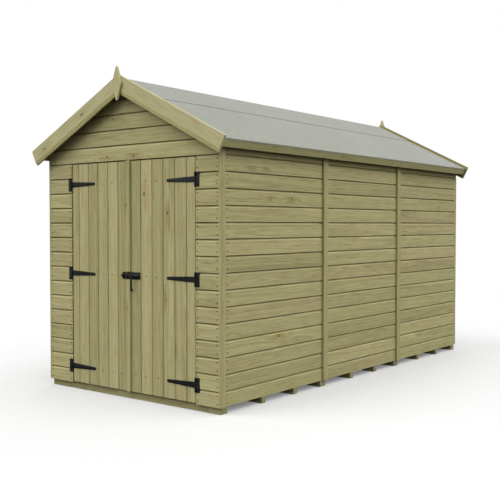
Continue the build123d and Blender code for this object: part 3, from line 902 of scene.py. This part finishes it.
for name in FRAMES:
    outside = name == "floor_joists"
    timber(name, cladding if outside else framing, JOIST_TONE if outside else None)
print("eased timbers:", len(TRIM) + len(FRAMES))

# %% [markdown]
# ## Back corner posts
# At the back, the boards of a side wall stop at one plain upright post that runs from the foot to
# the eaves. Its corner strip ends at the wall's head, so a thinner packing carries the strip on
# upwards, behind the bargeboard.

# %% Back corner posts
PACKING = 0.0115           # thin enough to lie behind the bargeboard


def back_corner_posts():
    bm = timber_mesh()
    places = []
    for group in islands(clean_copy("back_corner_strips")):
        inner = min((v.co.x for v in group), key=abs)
        outer = max((v.co.x for v in group), key=abs)
        side = 1 if outer > 0 else -1
        face = side * half_width
        front = back_face - BOARD_THICKNESS - POST_LAP
        post = (face - side * BOARD_THICKNESS, face, front, back_face, base_top)
        packing = (inner, outer, back_face, back_face + PACKING, head_height)
        for inner, outer, y0, y1, foot in (post, packing):
            width = abs(outer - inner)
            matrix = board_space((min(inner, outer), y0, foot), (0, 0, 1), (1, 0, 0))
            section = [(0.0, 0.0), (width, 0.0), (width, y1 - y0), (0.0, y1 - y0)]
            verts = push_section(bm, section, ridge_under - foot, matrix)
            cut_away(bm, verts, *roof_cut(side))
            places.append((Vector(((inner + outer) / 2, (y0 + y1) / 2)), matrix, width))
    ease_edges(bm, EDGE_EASE)
    for group in islands(bm):
        middle = sum((v.co for v in group), Vector()) / len(group)
        _, matrix, width = min(places, key=lambda place: (place[0] - middle.xy).length)
        give_grain(bm, group, matrix, width / 2, (), PLAIN_TRIM_TONE, TRIM_WARMTH, lift=1.0)
    piece("back_corner_posts", bm, cladding, "shed")
    print("back corner timbers:", len(places))


back_corner_posts()

# %% [markdown]
# ## Roof boards and floor
# From inside, the roof shows tongued and grooved boards that run from gable to gable, and the
# floor the same boards laid on the joists. Both are laid like the doors, face to the room.

# %% Roof boards and floor boards
ROOF_BOARD = 0.112
FLOOR_BOARD = 0.120
PAST_RIDGE = 0.01          # boards are laid until one starts this far past the ridge
NEAR_RIDGE = 0.02          # a board that comes this near to the ridge is sawn there
RIDGE_GAP = 0.0002         # each slope stops this short of the middle


def roof_boards(side, node):
    low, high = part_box(node)
    under, normal = roof_cut(side)
    down = Vector((side * cos(SLOPE), 0.0, -sin(SLOPE)))
    reach = max((v.co - under).dot(down) for v in nodes[node].data.vertices)
    bm = timber_mesh()
    edge = reach
    while edge > -PAST_RIDGE:
        start = under + down * (edge - ROOF_BOARD) + normal * BOARD_THICKNESS
        start.y = low.y if side > 0 else high.y
        matrix = board_space(start, (0, side, 0), down)
        verts = push_section(bm, matchboard(ROOF_BOARD), high.y - low.y, matrix)
        if edge == reach:
            verts = cut_away(bm, verts, under + down * reach, down)
        if edge < ROOF_BOARD + NEAR_RIDGE:
            verts = cut_away(bm, verts, (side * RIDGE_GAP, 0, 0), (-side, 0, 0))
        if verts:
            give_grain(bm, verts, matrix, ROOF_BOARD / 2)
        edge -= ROOF_BOARD
    piece(node + "_boards", bm, framing, "shed", (node,))


def floor_boards():
    low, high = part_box("floor_boards")
    edges = [low.x]
    while edges[-1] < high.x - 1e-4:
        edges.append(min(edges[-1] + FLOOR_BOARD, high.x))
    looks = [(None, None)] * len(edges)
    bm = lay_boards("floor_boards", edges, (low.y, low.z), (0, 1, 0), high.y - low.y,
                    high.z - low.z, looks)
    piece("floor_boards_laid", bm, framing, "shed", ("floor_boards",))


roof_boards(-1, "roof_left")
roof_boards(1, "roof_right")
floor_boards()
print("roof boards", ROOF_BOARD, "m wide, floor boards", FLOOR_BOARD)

# %% [markdown]
# ## Nails
# Each wall board has two nails in a stud, and each door board one in each ledge. A head is a low
# dome of a few faces. All the heads on one body are one mesh.

# %% Nail heads
NAIL_RADIUS = 0.0052
NAIL_RISE = 0.0006
NAIL_TOP = 0.7             # radius of a head's flat top, in radii of the head
NAIL_SHARES = 0.25, 0.75   # of a board's height
NAIL_FROM_FOOT = 0.01      # the least distance from the foot of the wall
END_COLUMNS = (            # the nails' places in X, their wall's face and the way that it faces
    ((-0.852, -0.630), front_face, -1),
    ((0.680, 0.853), front_face, -1),
    ((-0.795, -0.27, 0.27, 0.795), back_face, 1),
)
SIDE_COLUMN = -1.737       # the others on the sides are under the strips and the posts


def nail_heads(name, places, body):
    """Low domes at places, each given as a point and the way that it faces."""
    bm = bmesh.new()
    for point, facing in places:
        turn = Vector((0, 0, 1)).rotation_difference(Vector(facing)).to_matrix().to_4x4()
        matrix = Matrix.Translation(Vector(point) + Vector(facing) * NAIL_RISE / 2) @ turn
        bmesh.ops.create_cone(bm, cap_ends=True, segments=10, radius1=NAIL_RADIUS,
                              radius2=NAIL_RADIUS * NAIL_TOP, depth=NAIL_RISE * 2, matrix=matrix)
    piece(name, bm, nail_steel, body)
    print(name, len(places), "nails")


def nail_heights(joint, course, top):
    """Two nails on each board, from the joint at or under the wall's foot up to its top."""
    heights = []
    while joint < top:
        heights += [joint + share * course for share in NAIL_SHARES]
        joint += course
    return [height for height in heights if base_top + NAIL_FROM_FOOT < height < top]


end_heights = nail_heights(first_joint(base_top), END_COURSE, head_height)
side_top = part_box("left_wall_front")[1].z
side_heights = nail_heights(base_top + SIDE_FIRST - SIDE_COURSE, SIDE_COURSE, side_top)
nails = []
for columns, y, facing in END_COLUMNS:
    nails += [((x, y, height), (0, facing, 0)) for height in end_heights for x in columns]
for side in (-1, 1):
    nails += [((side * half_width, SIDE_COLUMN, height), (side, 0, 0)) for height in side_heights]
nail_heads("wall_nails", nails, "shed")

# %% Nails in the doors
LEFT_RIGHT_STRAY = 0.012   # nobody measures where to put a nail
UP_DOWN_STRAY = 0.006


def door_nails(node):
    low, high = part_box(node)
    edges = [low.x, *DOOR_JOINTS[node], high.x]
    body = nodes[node]["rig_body"]
    rows = []
    for island in islands(clean_copy(body + "_ledges")):
        heights = [v.co.z for v in island]
        rows.append((min(heights) + max(heights)) / 2)
    places = []
    for x0, x1 in zip(edges, edges[1:]):
        for height in rows:
            x = (x0 + x1) / 2 + rng.uniform(-LEFT_RIGHT_STRAY, LEFT_RIGHT_STRAY)
            z = height + rng.uniform(-UP_DOWN_STRAY, UP_DOWN_STRAY)
            places.append(((x, front_face, z), (0, -1, 0)))
    nail_heads(node + "_nails", places, body)


door_nails("left_door")
door_nails("right_door")

# %% [markdown]
# ## Hinges and bolt
# The fittings are pressed steel. Their CAD shape is right, so each gets a copy with its edges
# rounded by the coat.

# %% Ease the steel
COAT_EASE = 0.0005
STEEL = ("hinge_plates", "left_hinge_straps", "right_hinge_straps", "bolt_plate", "bolt_keeper",
         "bolt_rod")
for name in STEEL:
    bm = clean_copy(name)
    ease_edges(bm, COAT_EASE, angle=35)
    piece(name + "_coated", bm, black_steel, nodes[name]["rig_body"], (name,), 30)
print("coated fittings:", len(STEEL))

# %% [markdown]
# The screws that hold the fittings have pan heads, low domes with a flat top. They go where the
# real hinges are fixed: two above each other at each end of a wall plate, and four along each
# strap, a little off its middle line in turn. The bolt's plate has one in each corner.

# %% Screws
SCREW_RADIUS = 0.0042
SCREW_RISE = 0.0016
PAN_CURVE = 0.7            # share of a head's rise that is rounded
STEEL_SHEET = 0.003
STRAP_LENGTH = 0.266       # from the hinge pin to the tip
STRAP_SCREWS = (0.040, 0.092, 0.146, 0.204)       # from the hinge pin
STRAP_SCREW_OFF = 0.006    # off the strap's middle line, less where it is narrow
PLATE_SCREWS = 0.030, 0.043                       # from the middle of the plate
PLATE_SCREW_IN = 0.012     # from the plate's outer edge
CORNER_IN = 0.0065         # from the bolt plate's edges


def screws(name, places, body):
    """Pan heads at places in the plane of the steel's face."""
    bm = bmesh.new()
    middle = front_face - STEEL_SHEET - SCREW_RISE / 2
    for x, z in places:
        matrix = Matrix.Translation((x, middle, z)) @ Matrix.Rotation(radians(90), 4, "X")
        bmesh.ops.create_cone(bm, cap_ends=True, segments=14, radius1=SCREW_RADIUS,
                              radius2=SCREW_RADIUS, depth=SCREW_RISE, matrix=matrix)
    rim = [e for e in bm.edges if all(v.co.y < middle for v in e.verts)]
    bmesh.ops.bevel(bm, geom=rim, offset=SCREW_RISE * PAN_CURVE, affect="EDGES", segments=2,
                    profile=0.5, material=-1)
    piece(name, bm, black_steel, body, smooth_angle=40)
    print(name, len(places), "screws")


def node_boxes(node):
    """Lowest and highest corner of each separate solid of a node."""
    for group in islands(clean_copy(node)):
        points = [v.co for v in group]
        yield (Vector([min(p[i] for p in points) for i in range(3)]),
               Vector([max(p[i] for p in points) for i in range(3)]))


places = []
for low, high in node_boxes("hinge_plates"):
    middle = (low.z + high.z) / 2
    x = low.x + PLATE_SCREW_IN if low.x < 0 else high.x - PLATE_SCREW_IN
    places += [(x, middle + sign * gap) for gap in PLATE_SCREWS for sign in (-1, 1)]
screws("hinge_plate_screws", places, "shed")

for node, side in (("left_hinge_straps", 1), ("right_hinge_straps", -1)):
    places = []
    for low, high in node_boxes(node):
        pin = low.x if side > 0 else high.x
        for i, reach in enumerate(STRAP_SCREWS):
            off = STRAP_SCREW_OFF * (-1) ** i * (1 - reach / STRAP_LENGTH)
            places.append((pin + side * reach, (low.z + high.z) / 2 + off))
    screws(node[:-7] + "_screws", places, nodes[node]["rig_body"])

low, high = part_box("bolt_plate")
places = [(x, z) for x in (low.x + CORNER_IN, high.x - CORNER_IN)
          for z in (low.z + CORNER_IN, high.z - CORNER_IN)]
screws("bolt_plate_screws", places, "right_door")
low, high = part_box("bolt_keeper")
middle = (low.x + high.x) / 2
screws("keeper_screws", [(middle, low.z + CORNER_IN), (middle, high.z - CORNER_IN)], "left_door")

# %% [markdown]
# ## Felt
# The sheets of felt are flat and thin, so the solids are right as they are and only get the finish.

# %% Felt
for name, finish in (("side_felt", side_felt), ("ridge_felt", ridge_felt)):
    nodes[name].data.materials.clear()
    nodes[name].data.materials.append(finish)
    print(name, "is", finish.name)

# %% [markdown]
# ## Floor
# The floor is a plain pale sheet that fades to the white of the background, so that it keeps
# the soft shadow and shows no edge. The camera sees it pale, but it sends little light back up at
# the shed. Outside the shed's own outline it glows a little, a painted light, so that it stays
# darker under the shed. It fades in two steps: partly within a metre or so of the walls, a painted
# light over the shed's soft shadow, and wholly far away.

# %% Floor
FLOOR_SEEN = (0.5, 0.5, 0.5, 1.0)                 # linear, as the camera sees it
FLOOR_BOUNCE = (0.03, 0.03, 0.03, 1.0)            # linear, as the shed sees it
FLOOR_PAINTED_LIGHT = 0.225
FLOOR_RADIUS = 40.0
PAINTED_LIGHT_X = (0.35, 0.90)      # the painted light grows over this stretch, sideways from the middle
PAINTED_LIGHT_Y = (1.30, 1.85)      # and lengthwise
NEAR_FADE = (0.2, 1.2)     # metres from the walls
NEAR_PAINTED_LIGHT = 0.45
FAR_FADE = (2.5, 9.0)      # metres from the middle


def studio_floor():
    bm = bmesh.new()
    bmesh.ops.create_circle(bm, cap_ends=True, segments=64, radius=FLOOR_RADIUS)
    material, tree, shader = new_material("pale_studio_floor")
    seen = add(tree, "LightPath", out=0)
    colour = add(tree, "Mix", seen, A_Color=FLOOR_BOUNCE, B_Color=FLOOR_SEEN, **COLOURS)
    tree.links.new(colour, shader.inputs["Base Color"])
    shader.inputs["Roughness"].default_value = 0.9
    shader.inputs["Specular IOR Level"].default_value = 0.1

    place = add(tree, "TexCoord", out=3)
    away = add(tree, "VectorMath", "LENGTH", place, out=1)
    split = add(tree, "SeparateXYZ", place).node.outputs
    sideways = add(tree, "Math", "ABSOLUTE", split[0])
    lengthwise = add(tree, "Math", "ABSOLUTE", split[1])
    beside = add(tree, "MapRange", sideways, *PAINTED_LIGHT_X)
    before = add(tree, "MapRange", lengthwise, *PAINTED_LIGHT_Y)
    outside = add(tree, "Math", "MAXIMUM", beside, before)

    clear_x = add(tree, "Math", "SUBTRACT", sideways, half_width)
    clear_y = add(tree, "Math", "SUBTRACT", lengthwise, back_face)
    clear = add(tree, "Math", "MAXIMUM", clear_x, clear_y)
    # painted light over the shed's soft shadow, growing with the distance from the walls
    painted_light_near = add(tree, "MapRange", clear, *NEAR_FADE, 0.0, NEAR_PAINTED_LIGHT)
    far_fade = add(tree, "MapRange", away, *FAR_FADE, **SMOOTH)
    fade = add(tree, "Math", "MAXIMUM", far_fade, painted_light_near)

    # painted light: for the camera, the floor glows a little outside the shed's outline
    lift = add(tree, "Math", "MULTIPLY", add(tree, "Math", "MULTIPLY", seen, outside), FLOOR_PAINTED_LIGHT)
    lift = add(tree, "Emission", Color=(1, 1, 1, 1), Strength=lift)
    with_painted_light = add(tree, "AddShader", shader.outputs[0], lift)
    white = add(tree, "Emission", Color=(1, 1, 1, 1), Strength=1.0)
    mixed = add(tree, "MixShader", add(tree, "Math", "MULTIPLY", fade, seen), with_painted_light, white)
    tree.links.new(mixed, tree.nodes["Material Output"].inputs["Surface"])
    mesh_object("floor", bm, material)


studio_floor()
print("floor fades from", NEAR_FADE[0], "m off the walls")

# %% [markdown]
# ## Light and camera
# A dull white sky lights the shed from everywhere, less from the horizon. Three broad suns stand
# for large soft boxes: one to the front left, one to the right, and a weak one behind. What the
# camera and reflections see is plain white.

# %% World
SKY_STRENGTH = 0.75
HORIZON_SHARE = 0.6        # of the strength overhead


def white_world(strength):
    world = bpy.data.worlds.new("studio")
    bpy.context.scene.world = world
    world.use_nodes = True
    tree = world.node_tree
    ambient = tree.nodes["Background"]
    ambient.inputs["Color"].default_value = (1, 1, 1, 1)
    sky = add(tree, "TexCoord")
    height = add(tree, "SeparateXYZ", sky, out=2)
    overhead = add(tree, "MapRange", height, 0.0, 1.0, strength * HORIZON_SHARE, strength)
    tree.links.new(overhead, ambient.inputs["Strength"])
    white = add(tree, "Background", Color=(1, 1, 1, 1), Strength=1.0)
    path = add(tree, "LightPath").node
    seen = add(tree, "Math", "MAXIMUM", path.outputs["Is Camera Ray"], path.outputs["Is Glossy Ray"])
    seen = add(tree, "Math", "MAXIMUM", seen, path.outputs["Is Transmission Ray"])
    mixed = add(tree, "MixShader", seen, ambient.outputs[0], white)
    tree.links.new(mixed, tree.nodes["World Output"].inputs["Surface"])


white_world(SKY_STRENGTH)
print("sky strength", SKY_STRENGTH)


# %% Lamps
def sun(name, towards, strength, angle):
    """A sun that shines towards a direction. angle is its width in degrees."""
    data = bpy.data.lights.new(name, "SUN")
    data.energy = strength
    data.angle = radians(angle)
    new_object(name, data).rotation_euler = Vector(towards).to_track_quat("-Z", "Y").to_euler()
    print(name, strength)


sun("key_from_front_left", (0.38, 0.66, -0.65), 2.17, 60)
sun("fill_from_right", (-0.70, -0.18, -0.69), 2.05, 85)
sun("rim_from_behind", (0.30, -0.80, -0.52), 0.62, 60)

# %% Camera
CAMERA_PLACE = (4.3507, -5.9284, 1.2651)
CAMERA_DOWN = 1.768        # degrees
CAMERA_LEFT = 38.149       # degrees from straight ahead
SENSOR = 36.0              # millimetres
LENS = 58.79
camera_data = bpy.data.cameras.new("camera")
camera = new_object("camera", camera_data)
camera.location = CAMERA_PLACE
camera.rotation_euler = (radians(90 - CAMERA_DOWN), 0.0, radians(CAMERA_LEFT))
camera_data.sensor_width = SENSOR
camera_data.lens = LENS
bpy.context.scene.camera = camera
bpy.context.scene.view_settings.view_transform = "Standard"
print("camera stands", round(Vector(CAMERA_PLACE).length, 2), "m from the middle of the floor")
